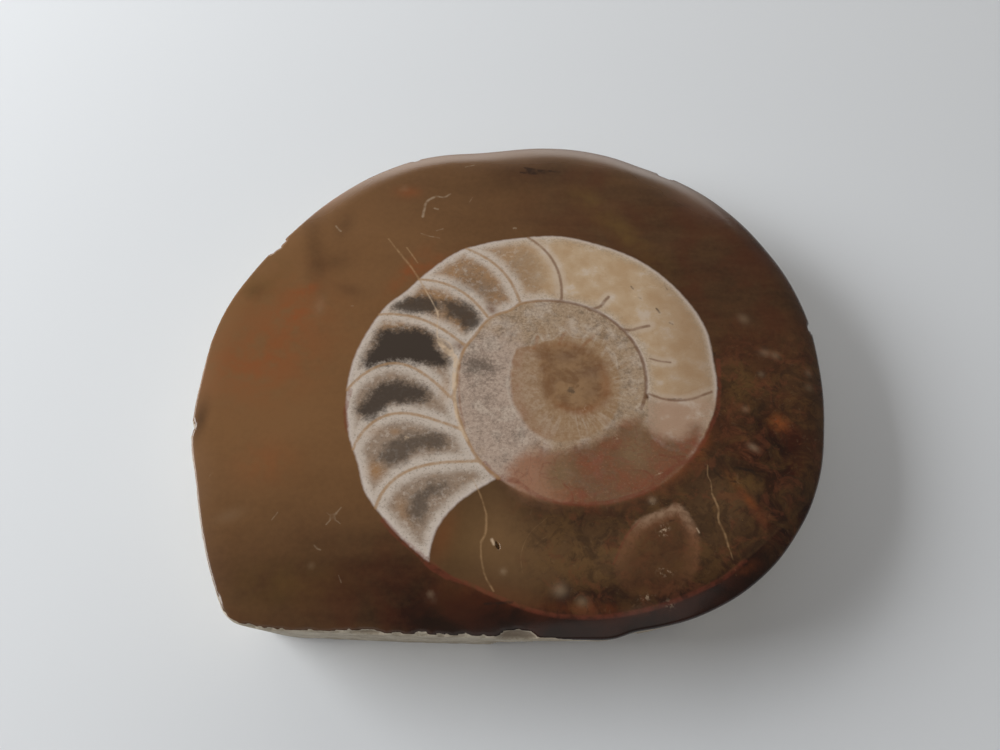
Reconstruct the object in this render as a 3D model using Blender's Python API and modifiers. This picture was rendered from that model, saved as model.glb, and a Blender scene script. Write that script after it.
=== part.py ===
"""A polished slab of fossil limestone with an ammonite in its face, lying flat.

The slab is one stone. Its face is ground flat and polished, and rounds over into a broad
shoulder along the back and the right. Along the front and the left it stays flat almost to
the edge. The sides lean in towards a smaller sawn underside, and the edges carry the chips of
hand grinding.

Metres, +Z up, +X across the slab, +Y away from the straight front edge. The origin is the
middle of the bounding box, on the underside.
"""
import math
from collections import namedtuple

import bmesh
import bpy
from mathutils import Vector

MM = 0.001
SLAB_NAME = "ammonite_slab"

# The stone's thickness, and how much less than the face the underside measures from its middle
THICKNESS = 8.5 * MM
UNDERSIDE_SHARE = 0.95

# The shoulder: its width, how far the edge sinks below the face, the bearing it is centred on,
# how far round it stays full and where it has faded, and the share that is left of it there
SHOULDER_WIDTH = 2.6 * MM
SHOULDER_DROP = 0.8 * MM
SHOULDER_STEPS = 5
SHOULDER_BEARING = 20.0
SHOULDER_FULL = 80.0
SHOULDER_FADED = 130.0
SHOULDER_LEAST = 0.2

# The small round on the corners
CORNER_ROUND = 0.3 * MM
CORNER_STEPS = 2
CORNER_ANGLE = math.radians(40.0)

# The outline is smooth between its points, with this many edges to a span
SPAN_STEPS = 5
WELD_DISTANCE = 0.00001

# The edge of the slab, anticlockwise from the right, in millimetres
OUTLINE = [
    (30.2, -0.1), (29.5, 7.1), (26.8, 14.0), (22.7, 19.8), (18.6, 23.2),
    (14.3, 25.4), (9.8, 27.3), (3.7, 28.15), (-3.8, 27.2), (-9.7, 26.3),
    (-14.0, 24.4), (-19.1, 20.4), (-24.3, 13.9), (-27.8, 7.9), (-29.7, 2.4),
    (-30.2, -4.5), (-29.9, -10.5), (-28.6, -14.9), (-27.0, -19.9), (-25.0, -24.6),
    (-23.4, -27.2), (-22.0, -27.7), (-14.1, -28.05), (-3.1, -28.15), (5.9, -28.0),
    (8.9, -27.8), (10.0, -27.3), (12.5, -26.8), (16.4, -25.55), (21.5, -22.4),
    (25.3, -18.2), (27.8, -13.8), (29.3, -8.7),
]

# A chip is a scooped bite centred on the edge, sized in millimetres: how far it runs along
# the edge, how far it bites into the slab, and how far it drops down or rises up the side
Chip = namedtuple("Chip", "x y run bite drop")

FACE_CHIPS = [
    Chip(-25.4, 12.2, 1.5, 0.55, 2.6),
    Chip(-11.7, 25.5, 0.7, 0.35, 0.8),
    Chip(16.9, 24.2, 1.0, 0.75, 2.0),
    Chip(30.1, 3.6, 0.8, 0.45, 1.6),
    Chip(-30.0, -9.7, 0.9, 0.4, 0.7),
    Chip(-22.8, -27.5, 0.4, 0.35, 0.5),
    Chip(-21.3, -27.8, 0.5, 0.35, 0.6),
    Chip(-19.8, -27.9, 0.4, 0.22, 0.5),
    Chip(-11.7, -28.1, 1.7, 0.4, 0.6),
    Chip(-5.5, -28.2, 0.6, 0.25, 0.5),
    Chip(0.6, -28.1, 1.7, 0.75, 2.2),
]

UNDERSIDE_CHIPS = [
    Chip(26.5, 9.7, 3.2, 1.2, 1.5),
    Chip(-1.6, 26.1, 2.6, 0.9, 1.1),
    Chip(-28.2, 1.8, 2.2, 1.0, 1.8),
    Chip(-16.6, -26.6, 2.4, 0.7, 0.9),
    Chip(5.2, -26.7, 7.2, 2.2, 6.4),
    Chip(13.9, -25.1, 3.0, 1.1, 1.3),
]
CHIP_SUBDIVISIONS = 2


def clear_scene():
    """Remove every object of the open scene."""
    for old in list(bpy.data.objects):
        bpy.data.objects.remove(old, do_unlink=True)


def new_collection(name):
    collection = bpy.data.collections.new(name)
    bpy.context.scene.collection.children.link(collection)
    return collection


def limestone():
    """Dense brown limestone with a polished face."""
    material = bpy.data.materials.new("polished_limestone")
    material.use_nodes = True
    shader = material.node_tree.nodes["Principled BSDF"]
    shader.inputs["Base Color"].default_value = (0.150, 0.070, 0.027, 1.0)
    shader.inputs["Roughness"].default_value = 0.22
    shader.inputs["Metallic"].default_value = 0.0
    return material


def extruded_outline():
    """The slab's outline as a flat filled curve, extruded to the slab's thickness."""
    curve = bpy.data.curves.new("outline", "CURVE")
    curve.dimensions = "2D"
    curve.fill_mode = "BOTH"
    curve.extrude = THICKNESS / 2
    curve.resolution_u = SPAN_STEPS
    spline = curve.splines.new("BEZIER")
    spline.bezier_points.add(len(OUTLINE) - 1)
    spline.use_cyclic_u = True
    for point, (x, y) in zip(spline.bezier_points, OUTLINE):
        point.co = (x * MM, y * MM, 0.0)
        point.handle_left_type = "AUTO"
        point.handle_right_type = "AUTO"
    return bpy.data.objects.new("outline", curve)


def mesh_from_curve(curve_object, name, collection):
    """The curve's shape as a mesh, which takes the curve's place."""
    collection.objects.link(curve_object)
    bpy.context.view_layer.update()
    evaluated = curve_object.evaluated_get(bpy.context.evaluated_depsgraph_get())
    mesh = bpy.data.meshes.new_from_object(evaluated)
    mesh.name = name
    bpy.data.objects.remove(curve_object, do_unlink=True)
    return mesh


def flat_face(shell, height):
    """Join the faces that lie flat at a height into one."""
    flat = [face for face in shell.faces
            if all(abs(vertex.co.z - height) < WELD_DISTANCE for vertex in face.verts)]
    return bmesh.ops.dissolve_faces(shell, faces=flat)["region"][0]


def shoulder_share(x, y):
    """How much of the shoulder there is in the direction of a point, from 0 to 1."""
    bearing = math.degrees(math.atan2(y, x))
    turned = abs((bearing - SHOULDER_BEARING + 180.0) % 360.0 - 180.0)
    left = (SHOULDER_FADED - turned) / (SHOULDER_FADED - SHOULDER_FULL)
    left = min(max(left, 0.0), 1.0)
    eased = left * left * (3.0 - 2.0 * left)
    return SHOULDER_LEAST + (1.0 - SHOULDER_LEAST) * eased


def round_shoulder(shell, face):
    """Carry the face inwards in steps, each of them higher up the shoulder's curve."""
    step_in = SHOULDER_WIDTH / SHOULDER_STEPS
    for step in range(SHOULDER_STEPS + 1):
        if step > 0:
            face = bmesh.ops.extrude_discrete_faces(shell, faces=[face])["faces"][0]
        sunk = SHOULDER_DROP * (1.0 - step / SHOULDER_STEPS) ** 2
        for vertex in face.verts:
            if step > 0:
                reach = math.hypot(vertex.co.x, vertex.co.y)
                vertex.co.x *= 1.0 - step_in / reach
                vertex.co.y *= 1.0 - step_in / reach
            vertex.co.z = THICKNESS / 2 - sunk * shoulder_share(vertex.co.x, vertex.co.y)


def lean_sides(face):
    """Draw the underside in, so that the sides lean inwards on their way down."""
    for vertex in face.verts:
        vertex.co.x *= UNDERSIDE_SHARE
        vertex.co.y *= UNDERSIDE_SHARE


def stand_on_origin(shell):
    """Put the middle of the box's underside at the origin."""
    places = [vertex.co for vertex in shell.verts]
    middle_x = (min(p.x for p in places) + max(p.x for p in places)) / 2
    middle_y = (min(p.y for p in places) + max(p.y for p in places)) / 2
    lowest = min(p.z for p in places)
    bmesh.ops.translate(shell, verts=shell.verts, vec=(-middle_x, -middle_y, -lowest))


def shape_slab(mesh):
    """Weld the extruded outline and give it its shoulder, its leaning sides and its place."""
    shell = bmesh.new()
    shell.from_mesh(mesh)
    bmesh.ops.remove_doubles(shell, verts=shell.verts, dist=WELD_DISTANCE)
    bmesh.ops.recalc_face_normals(shell, faces=shell.faces)
    lean_sides(flat_face(shell, -THICKNESS / 2))
    round_shoulder(shell, flat_face(shell, THICKNESS / 2))
    stand_on_origin(shell)
    shell.to_mesh(mesh)
    shell.free()


def round_corners(solid):
    """Take the sharpness off the edges of the face and of the underside."""
    bevel = solid.modifiers.new("round_corners", "BEVEL")
    bevel.limit_method = "ANGLE"
    bevel.angle_limit = CORNER_ANGLE
    bevel.width = CORNER_ROUND
    bevel.segments = CORNER_STEPS
    bevel.use_clamp_overlap = False


def edge_direction(x, y):
    """The bearing of the outline's nearest span, for a point close to it."""
    here = Vector((x, y))
    corners = [Vector(corner) for corner in OUTLINE]
    spans = list(zip(corners, corners[1:] + corners[:1]))
    start, end = min(spans, key=lambda span: ((span[0] + span[1]) / 2 - here).length)
    along = end - start
    return math.atan2(along.y, along.x)


def add_chip_cutter(chip, height, name, collection):
    """An ellipsoid centred on the edge, to scoop the chip out of the slab."""
    mesh = bpy.data.meshes.new(name)
    ball = bmesh.new()
    bmesh.ops.create_icosphere(ball, subdivisions=CHIP_SUBDIVISIONS, radius=1.0)
    bmesh.ops.scale(ball, vec=(chip.run * MM, chip.bite * MM, chip.drop * MM), verts=ball.verts)
    ball.to_mesh(mesh)
    ball.free()
    cutter = bpy.data.objects.new(name, mesh)
    cutter.location = (chip.x * MM, chip.y * MM, height)
    cutter.rotation_euler.z = edge_direction(chip.x, chip.y)
    cutter.display_type = "WIRE"
    cutter.hide_render = True
    collection.objects.link(cutter)


def cut_chips(solid, cutters):
    """Cut every chip out of the slab."""
    for number, chip in enumerate(FACE_CHIPS):
        height = THICKNESS - SHOULDER_DROP * shoulder_share(chip.x, chip.y)
        add_chip_cutter(chip, height, f"face_chip_{number}", cutters)
    for number, chip in enumerate(UNDERSIDE_CHIPS):
        add_chip_cutter(chip, 0.0, f"underside_chip_{number}", cutters)
    cut = solid.modifiers.new("chips", "BOOLEAN")
    cut.operation = "DIFFERENCE"
    cut.operand_type = "COLLECTION"
    cut.collection = cutters
    cut.solver = "EXACT"


def build_slab(collection, cutters):
    mesh = mesh_from_curve(extruded_outline(), SLAB_NAME, collection)
    shape_slab(mesh)
    mesh.materials.append(limestone())
    mesh.shade_smooth()
    solid = bpy.data.objects.new(SLAB_NAME, mesh)
    collection.objects.link(solid)
    round_corners(solid)
    cut_chips(solid, cutters)


clear_scene()
build_slab(new_collection("fossil_ammonite"), new_collection("cutters"))
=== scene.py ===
"""A polished slab of fossil limestone with an ammonite in its face, lying on a plain pale floor.

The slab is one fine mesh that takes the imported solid's place and follows its outline and chips.
The ammonite is drawn once, as walls, chambers and veins measured on the stone's face. Each of
them becomes a field of depths on the mesh, and the stone's material turns the fields into
colour, grain and gloss.

Lengths are millimetres on the stone, from the middle of its underside, and angles are degrees,
unless a name says more. +X runs across the slab and +Y away from its straight front edge.
"""
import math
from collections import namedtuple

import bpy
import numpy as np
from mathutils import Matrix, Vector, noise
from mathutils.bvhtree import BVHTree
from mathutils.geometry import delaunay_2d_cdt
from mathutils.kdtree import KDTree


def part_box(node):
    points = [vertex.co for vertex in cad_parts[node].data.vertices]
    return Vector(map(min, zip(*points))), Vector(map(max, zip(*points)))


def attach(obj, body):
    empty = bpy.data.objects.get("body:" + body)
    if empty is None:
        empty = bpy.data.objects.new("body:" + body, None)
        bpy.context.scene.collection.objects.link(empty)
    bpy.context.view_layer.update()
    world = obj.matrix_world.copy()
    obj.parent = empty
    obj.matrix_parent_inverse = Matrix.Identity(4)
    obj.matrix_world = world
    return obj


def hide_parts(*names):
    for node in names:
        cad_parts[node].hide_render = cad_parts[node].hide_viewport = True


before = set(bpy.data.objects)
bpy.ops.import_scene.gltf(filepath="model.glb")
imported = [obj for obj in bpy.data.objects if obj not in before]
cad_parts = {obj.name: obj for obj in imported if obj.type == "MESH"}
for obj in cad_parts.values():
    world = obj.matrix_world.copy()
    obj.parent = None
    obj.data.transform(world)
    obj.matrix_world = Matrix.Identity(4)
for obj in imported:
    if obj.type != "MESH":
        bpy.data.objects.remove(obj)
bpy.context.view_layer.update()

MM = 0.001
SLAB_NODE = "ammonite_slab"
STONE_NAME = "ammonite_slab_stone"
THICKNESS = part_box(SLAB_NODE)[1].z / MM

# The camera: its place, how steeply it looks down, its roll, and its focal length in pixels of
# a picture this wide
CAMERA_PLACE = (-1.4, -45.25, THICKNESS + 70.4)
CAMERA_PITCH = 59.16
CAMERA_ROLL = 1.42
CAMERA_FOCAL = 850.0
PICTURE_WIDTH = 1000.0
SENSOR_WIDTH = 36.0

# The solid's own shape: how much less its underside measures than its face, and its shoulder
UNDERSIDE_SHARE = 0.95
SHOULDER_WIDTH = 2.6
SHOULDER_DROP = 0.8
SHOULDER_BEARING = 20.0
SHOULDER_FULL = 80.0
SHOULDER_FADED = 130.0
SHOULDER_LEAST = 0.2
CORNER_ROUND = 0.3

# The mesh: points round the rim, rows across each part of it, the pitch of the points inside it
# on the fossil, on the rest of the face, below and along lines, and how clear they lie of others
AROUND = 720
SHOULDER_ROWS = 12
CORNER_ROWS = 4
SIDE_ROWS = 22
UNDERSIDE_ROWS = 8
UNDERSIDE_RIM = 3.0
FOSSIL_PITCH = 0.27
FACE_PITCH = 0.5
UNDERSIDE_PITCH = 0.9
LINE_PITCH = 0.14
HOLLOW_SPACING = 0.3
LINE_CLEARANCE = 0.11
RING_CLEARANCE = 0.12
MERGE_DISTANCE = 0.00001

# The steps between two points of a smooth path and across a septum, and how closely the side's
# rows crowd towards the face
SPAN_STEPS = 24
SEPTUM_STEPS = 40
SIDE_CROWDING = 1.25

# Heights at which the sides are felt for, the smoothing of what is felt in points round the rim
# and how far inside it the outline is drawn, how far outside the stone a chip is felt from, the
# place inside the stone that it is sunk towards, and the depth that counts as a chip
PROBE_HEIGHTS = (3.2, 5.4, 6.2, 7.0)
OUTLINE_SMOOTHING = 2.2
OUTLINE_INSET = 0.02
FELT_FROM = 2.5
SPINE_INSET = 4.0
CHIP_DEPTH = 0.07

# The rough sides: how deep their hollows go and how high up they start
ROUGH_DEPTH = 0.09
ROUGH_ABOVE = 0.05

# The crumbled front lip: the bearings it runs between, how far it fades out beyond them, its
# depth and its width
LIP_BEARINGS = (-134.0, -96.0)
LIP_FADES = (4.0, 12.0)
LIP_DEPTH = 0.18
LIP_WIDTH = 0.3

# The bearings between which the corner is polished too, and how far that takes to fade; the
# depths over which the lip and the chips lose their polish, and over which chips turn brown
POLISHED_CORNER = (-84.0, 80.0)
POLISHED_CORNER_FADES = (6.0, 20.0)
DULL_LIP = (0.02, 0.06)
DULL_CHIPS = (0.03, 0.12)
BROWN_CHIPS = (0.1, 0.5)

# The middle of the shell, the reach of its outline, half the width that points are laid over,
# a depth for points far from a field, and the least length that is divided by
NUCLEUS = (5.42, -4.80)
FOSSIL_REACH = 22.6
FACE_HALF = 31.0
FAR = 30.0
TINY = 1e-9

# The shell's wall as (turn, radius), wound inwards from the opening. Turns are bearings about
# the nucleus, and each whorl further in has 360 taken off them.
WALL = [
    (-20, 24.6), (-30, 23.2), (-40, 22.2), (-52, 21.8), (-80, 21.5), (-99, 21.4),
    (-115, 21.1), (-130, 21.2), (-143, 21.35), (-150, 21.5), (-158, 21.1),
    (-167, 21.3), (-186, 21.3), (-198.5, 20.95), (-207, 20.7), (-214, 20.1),
    (-222, 20.05), (-236, 20.2), (-242, 19.9), (-255, 19.3), (-268, 19),
    (-279, 18.35), (-296, 17.6), (-313, 16.6), (-332, 15.5), (-344.4, 14.5),
    (-358, 14), (-382, 13), (-418, 12.05), (-434, 11.8), (-452, 11.45),
    (-491, 11.4), (-502, 11.3), (-520, 11), (-536, 11.2), (-543, 11),
    (-562, 11.3), (-573, 11.2), (-586, 11.45), (-597, 11), (-604, 11.2),
    (-620, 10.7), (-642.5, 9.9), (-674, 8.65), (-709, 7.4), (-752, 6.5), (-790, 5.9),
]

# A septum is a wall across the whorl, bulging towards the shell's beginning: the turn where it
# meets the outer wall, its furthest turn and how high above the inner wall that lies as a share
# of the whorl, and the turn where it meets the inner wall
Septum = namedtuple("Septum", "outer crest height inner")
BODY_SEPTUM = Septum(-126.2, -131.4, 0.48, -126.5)
SEPTA = [
    Septum(-144.8, -149.5, 0.53, -138.2),
    Septum(-161.6, -169.5, 0.45, -156.1),
    Septum(-178.7, -188, 0.42, -173.5),
    Septum(-203.5, -208.2, 0.42, -205),
    Septum(-219.8, -226.7, 0.36, -225.2),
    Septum(-237.8, -245.1, 0.28, -244),
    Septum(-257.4, -266.4, 0.35, -265.8),
]
SEPTUM_WIDTH = 0.26

# The turns between which the whorls' dividing wall shows
DIVIDER_TURNS = (-486, -735)
DIVIDER_WIDTH = 0.30

# The chambered whorl: the turns along its outer wall, the curve that its last chamber ends in,
# and the turns back along its inner wall
CHAMBER_OUTER_TURNS = (-126.2, -357.5)
CHAMBER_INNER_TURNS = (-719.5, -486.7)
LAST_CHAMBER = [(19.4, -4.2), (19, -6.2), (18, -8.2), (16.6, -10.1), (14.9, -10.9),
                (13.5, -10.4), (12.7, -9.2), (12.6, -7.5), (12.8, -5.2)]

# The turns over which the chambers turn to cream, and the bearing where turns start again
CREAM_TURNS = (-236, -272)
SEAM_BEARING = -32

# The inner whorl's turns, and those of the last whorl along its outer and its inner wall, with
# the corner of its outline between them
INNER_WHORL_TURNS = (-366, -725)
BODY_OUTER_TURNS = (-128, -22)
BODY_INNER_TURNS = (-392, -486)
BODY_CORNER = (17.2, -10.4)

# Lengths of wall that show faintly, as (width, points)
FAINT_WALLS = [
    (0.30, [(7.5, 4.7), (8.6, 5.2), (9.1, 5.9), (9.5, 6.4)]),
    (0.28, [(10.5, 2.5), (11.5, 2.4), (12.5, 2.7), (13.4, 2.95)]),
    (0.16, [(13.2, -0.9), (14.2, -1.2), (15.2, -1.3)]),
    (0.22, [(12.8, -4.9), (14.6, -5.5), (16.7, -5.4), (18.9, -4.5)]),
]

# The dark crystals in the middle of the chambers, as (darkness, outline)
HOLLOWS = [
    (0.90, [(-12.4, 4.5), (-11.2, 5.5), (-10, 5.9), (-8.4, 5.8), (-7.9, 5), (-8, 4),
            (-9.6, 3.9), (-11.1, 3.9)]),
    (0.88, [(-7.4, 5.4), (-5.8, 5.3), (-4.6, 4.7), (-3.6, 3.6), (-3.7, 2.5), (-4.9, 2),
            (-5.8, 3), (-7, 4)]),
    (1.00, [(-14.7, -1.9), (-13.7, 0.1), (-13.4, 1.4), (-11.7, 1.8), (-9.7, 1.8), (-8.3, 1.3),
            (-7.7, -0.1), (-7, -1.2), (-6.5, -2.1), (-8.2, -2.1), (-10.7, -1.9),
            (-12.6, -2.3), (-14, -2.6)]),
    (0.92, [(-14.5, -7.1), (-13.5, -5.4), (-12.4, -4.5), (-11, -4.3), (-9.5, -4.6),
            (-8.2, -5.2), (-8.5, -6.1), (-10.3, -6.4), (-11.7, -6.7), (-12.6, -7.7),
            (-13.5, -8.4), (-14.3, -7.8)]),
    (0.70, [(-12.1, -12.4), (-11.5, -11.1), (-10.5, -10.2), (-9.1, -10.1), (-7.7, -9.8),
            (-6.3, -10.1), (-6.6, -11.2), (-8.2, -11.1), (-9.3, -11.7), (-10.1, -12.6),
            (-11.2, -12.8)]),
    (0.66, [(-9, -16.8), (-8.3, -15.6), (-7.3, -14.8), (-6, -14.6), (-6.4, -15.4),
            (-7.4, -16.1), (-7.7, -17.1), (-7.7, -18.2), (-8.6, -18)]),
    (0.20, [(-6.3, 7.7), (-4.8, 9.2), (-3.2, 8.4), (-2.1, 6.7), (-2.6, 5.4), (-4.2, 6.6),
            (-5.7, 6.7)]),
    (0.14, [(-0.6, 10.6), (0.9, 12), (2.3, 10.7), (2.7, 8.3), (2, 7), (0.6, 8),
            (-0.4, 9.3)]),
    (0.55, [(-4.7, -2), (-4, -1.3), (-3, -1.6), (-2.1, -2.2), (-2.2, -2.9), (-3.2, -2.8),
            (-4.3, -2.9)]),
]

# Outlines drawn on the stone's face
OUTLINES = {
    # The nucleus, where the shell begins
    "nucleus": [(0, -0.4), (-0.3, -2.3), (-0.4, -4.1), (0, -6.4), (1, -8.3), (2.1, -9.5),
                (3.4, -10.1), (5.2, -10.2), (7.4, -9.4), (9.2, -7.8), (10, -5.4), (10.1, -2.8),
                (9.2, -0.4), (7.7, 1.1), (4.8, 1.5), (2.1, 0.5)],
    # The rusty core in it
    "core": [(2, -0.2), (3.1, 0.5), (4.7, 0.9), (6.9, 0.3), (8.7, -1.1), (9.4, -4.3),
             (8.8, -5.9), (7.4, -7.1), (5.9, -7.4), (4.2, -7.1), (3.1, -6), (2.6, -4.4),
             (2.5, -2.8), (2.1, -1.4)],
    # The rosy patch in the last whorl
    "rose": [(8.7, -21.7), (9.9, -19.2), (11.2, -17.7), (13.6, -16.5), (15, -16.3),
             (15.9, -17.9), (16.3, -19.7), (15.7, -22.3), (14.1, -24.2), (11.3, -25),
             (9.3, -24.1)],
    # The part of the inner whorl, and of the stone beside it, that is stained red
    "reddened": [(-0.9, -14.6), (0.2, -12), (1.4, -11.1), (4.4, -10.9), (6.4, -10.2),
                 (8.6, -9), (10.6, -7.6), (12.1, -7.4), (12.8, -8.6), (14, -9.5),
                 (15.6, -9.2), (17.2, -8), (17.6, -10.2), (16.4, -12.4), (14.6, -14.4),
                 (12.8, -15.8), (9.8, -16.9), (7.4, -17.2), (4.3, -16.9), (1.6, -16.2)],
}

# Thin marks, as (width, points). Their edges are soft, so a mark with a width of 0 or less still
# shows, only fainter.
MARKS = {
    # Veins of cream calcite
    "vein": [
        (0.10, [(-13.6, 13.3), (-12.2, 11.3)]),
        (0.16, [(-12.2, 11.3), (-11, 9.7), (-9.9, 7.9), (-9.4, 7)]),
        (0.08, [(-11.6, 12.2), (-10.8, 11), (-10.3, 10.2)]),
        (0, [(-4.6, -9.5), (-3.5, -11.8), (-2.9, -12.9)]),
        (0.06, [(-3.6, -14.2), (-2.8, -15.9), (-2.3, -17.5)]),
        (0.14, [(-2.3, -17.5), (-2.3, -19.1), (-2.7, -20.1)]),
        (0.08, [(-2.7, -20.1), (-2.6, -21.6), (-2.2, -23.1), (-1.5, -24.3)]),
        (0.02, [(17.7, -12.2), (17.6, -13.2), (17.8, -13.9), (17.8, -15)]),
        (0.12, [(17.8, -15), (18.2, -16.4), (18.1, -17.5), (18.5, -18.7), (18.7, -19.9)]),
        (-0.02, [(18.7, -19.9), (18.9, -20.8), (19.1, -22.4)]),
        (-0.10, [(0.9, -22.7), (0.8, -21), (1.5, -19.2), (3, -17.7)]),
        (-0.12, [(1.8, -20.6), (2.3, -19.9), (3, -19.4)]),
    ],
    # Bright crystals along the dividing wall, and a painted glint at the upper left of the pit
    "crystal": [
        (0.06, [(-9.4, 7), (-7.9, 4), (-7.8, 2.4), (-7.7, 1)]),
        (0.50, [(-7.5, 0.6), (-6.8, -0.5), (-5.9, -1.3), (-5.6, -2)]),
        (0.36, [(-5.75, -2.1), (-5.8, -3.6), (-5.75, -4.8)]),
        (0.26, [(-5.7, -4.8), (-5.5, -7.2), (-5, -8.9), (-4.3, -10.3)]),
        (0.10, [(-7.2, 0.8), (-6.4, 0.2), (-6, -0.9)]), (0.10, [(-10, -10.1), (-9.7, -10.2)]),
        (0.18, [(-7.9, 4.2), (-7.8, 3.6)]), (0.02, [(16.1, -18.3), (16.3, -18.7)]),
        # The first mark on the next line is the painted glint beside the pit
        (0.22, [(-1.75, -19.8), (-1.55, -20.2)]), (0.06, [(12.1, 6.6), (12.6, 6.5)]),
    ],
    # Red threads
    "thread": [
        (0.34, [(-7.4, -21.6), (-5.2, -23.2), (-3.5, -23.8), (-0.9, -24.9), (2, -25.9),
                (5.3, -26.3), (9, -26), (13.2, -24.9), (17.6, -22.9), (20, -21.1)]),
        (0.50, [(-11.3, -18.3), (-9.7, -19.9), (-8, -21.2), (-6.9, -22.3), (-5.4, -23.2)]),
        (0.40, [(-15.6, -5.3), (-15.8, -7.5), (-15.4, -9.6)]),
        (0.40, [(19.9, -0.9), (19.7, -3.7), (19.2, -6.5), (18.2, -8.6), (17.2, -10.4),
                (16.2, -11.6), (14.8, -12.4), (13.3, -13.6), (11.8, -15), (8.6, -16.1)]),
        (0.50, [(-2.6, -12.6), (-1.6, -13.8), (-0.9, -14), (0.2, -14.2)]),
        (0.20, [(13.4, -11.3), (14.6, -11.5), (15.7, -11.4)]),
        (0.16, [(15.2, -11.6), (13.8, -13.4), (12.6, -14.7)]),
        (0.34, [(0.2, -14.2), (2.6, -15.8), (5.4, -16.3), (8.6, -16.1)]),
        (0.12, [(8.7, -21.7), (9.9, -19.2), (11.2, -17.7)]),
        (0.10, [(4.5, -14.4), (5.2, -15.2), (5.4, -16.2)]),
        (0.14, [(10.9, -12.9), (12.2, -13.1), (12.6, -14.2), (11.4, -15.2)]),
    ],
    # Dark cracks
    "crack": [
        (0.20, [(18.1, -12.5), (18.9, -13.5), (20, -13.8)]), (0.16, [(14.3, 5.1), (14.6, 4.6)]),
        (0.10, [(15.5, 3.4), (15.8, 3.2)]), (0.24, [(0.8, 24.1), (2.5, 23.8), (4.8, 23.6)]),
        (0.18, [(0.3, 23.4), (1.8, 23.2), (3.1, 23.4)]), (0.16, [(-2.2, -25.4), (0.1, -25.2)]),
        (0.12, [(11.9, 7.8), (12.1, 7.5)]), (0.08, [(15.4, 8), (15.6, 7.5)]),
        (0.10, [(12.5, 6.5), (12.8, 6.3)]), (0.02, [(14.5, -5.4), (15.9, -5.35)]),
        (0.26, [(20.2, -12.4), (21.6, -12.7), (22.4, -13.6)]),
        (0.06, [(13.8, -17.7), (14.2, -17.6)]),
    ],
    # Pale scratches in the polish
    "scratch": [
        (0.22, [(-10.2, 16.5), (-10.1, 17.5), (-10, 18.5), (-9.5, 19.1), (-8.9, 19.5)]),
        (0.16, [(-8.9, 19.5), (-8, 19.4), (-7.4, 19.9)]), (0.16, [(-9, 17.75), (-8.6, 17.65)]),
        (0.04, [(-8.6, 14.6), (-7.9, 14.9)]), (0.22, [(-0.3, 15.2), (-0.1, 15.2)]),
        (0.12, [(-19.4, 14.9), (-19.1, 14.5), (-18.8, 14.2)]),
        (0, [(-10.3, 14.2), (-9.2, 13.8), (-8.2, 13.6)]),
        (0.02, [(-16.2, -18.8), (-15.7, -18.1), (-15.1, -17.2)]),
        (-0.04, [(-16.3, -17.7), (-15, -18.7)]), (-0.02, [(-27.3, -14.7), (-27, -14.1)]),
        (-0.02, [(-21, -18.5), (-20.6, -17.8)]),
        (0.04, [(-17, -20.7), (-16.7, -21), (-16.4, -21.1)]),
        (-0.04, [(-14.6, -23.3), (-14.3, -23.9)]), (0.02, [(-16.6, 4.5), (-16.4, 4.5)]),
        (-0.02, [(-5.2, 18.8), (-4.9, 19.5)]), (0, [(-5.9, 24), (-4.7, 24.4)]),
    ],
    # Pale scallops along the nucleus
    "scallop": [
        (0.10, [(1.5, 0.2), (1.8, 1), (2.2, 1.7), (2.6, 1.2), (2.8, 0.9), (3.6, 1), (4.1, 1.4),
                (4.6, 2.1), (5, 2.3), (5.3, 1.9), (5.6, 1.5), (6.2, 1.3), (6.8, 1.4), (7.4, 2),
                (7.9, 2.1), (8.3, 1.8)]),
        (0.20, [(0, -0.4), (-0.4, -1.7), (-0.6, -3.2), (-0.7, -4.2), (-0.3, -6.4), (0.7, -8.5)]),
        (0.12, [(9, 0.3), (9.8, -0.6), (10, -2.2)]),
    ],
    # Brown teeth between the scallops
    "tooth": [
        (0.30, [(1.8, -0.1), (2.1, 0.6), (2.2, 1.3)]),
        (0.30, [(4.4, 0.6), (4.6, 1.2), (4.9, 1.8)]), (0.28, [(6.7, 0.4), (7.3, 1), (7.8, 1.6)]),
        (0, [(2.7, -12.3), (2.4, -13.8), (3.2, -15.2), (4.5, -15), (5.6, -13.7)]),
        (0.14, [(-5.3, -2.2), (-5.3, -4.6), (-5, -7.2), (-4.5, -9)]),
    ],
}

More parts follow.
